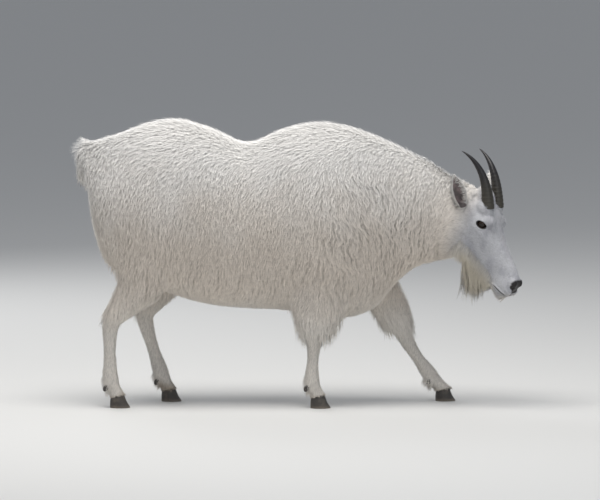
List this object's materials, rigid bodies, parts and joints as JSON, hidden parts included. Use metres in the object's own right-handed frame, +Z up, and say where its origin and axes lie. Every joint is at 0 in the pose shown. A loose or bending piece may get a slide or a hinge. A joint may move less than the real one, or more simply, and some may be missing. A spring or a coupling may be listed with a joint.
{
  "type": "mountain goat model",
  "caption": "Still life-size mountain goat walking nose down, in a short white summer coat, with slender black horns, beard, cupped ears and cloven hooves.",
  "frame": {"origin": "on the floor, under the middle of the animal's bounding box", "axes": "+X from rump to nose, +Y to the animal's left, +Z up"},
  "size_m": [1.433, 0.395, 0.9213],
  "materials": {
    "white_coat": "soft white fur",
    "black_horn": "smooth black horn, ringed low down",
    "dark_eye": "wet dark brown",
    "dark_hoof": "worn dark hoof"
  },
  "bodies": {
    "root": {"torso": "white_coat", "neck": "white_coat", "head": "white_coat", "tail": "white_coat", "ear_left": "white_coat", "ear_right": "white_coat", "leg_front_left_upper": "white_coat", "leg_front_left_lower": "white_coat", "leg_front_right_upper": "white_coat", "leg_front_right_lower": "white_coat", "leg_hind_left_upper": "white_coat", "leg_hind_left_lower": "white_coat", "leg_hind_right_upper": "white_coat", "leg_hind_right_lower": "white_coat", "horn_left": "black_horn", "horn_right": "black_horn", "eye_left": "dark_eye", "eye_right": "dark_eye", "hoof_front_left_inner": "dark_hoof", "hoof_front_left_outer": "dark_hoof", "hoof_front_right_inner": "dark_hoof", "hoof_front_right_outer": "dark_hoof", "hoof_hind_left_inner": "dark_hoof", "hoof_hind_left_outer": "dark_hoof", "hoof_hind_right_inner": "dark_hoof", "hoof_hind_right_outer": "dark_hoof", "dewclaw_front_left_inner": "dark_hoof", "dewclaw_front_left_outer": "dark_hoof", "dewclaw_front_right_inner": "dark_hoof", "dewclaw_front_right_outer": "dark_hoof", "dewclaw_hind_left_inner": "dark_hoof", "dewclaw_hind_left_outer": "dark_hoof", "dewclaw_hind_right_inner": "dark_hoof", "dewclaw_hind_right_outer": "dark_hoof"}
  },
  "joints": []
}
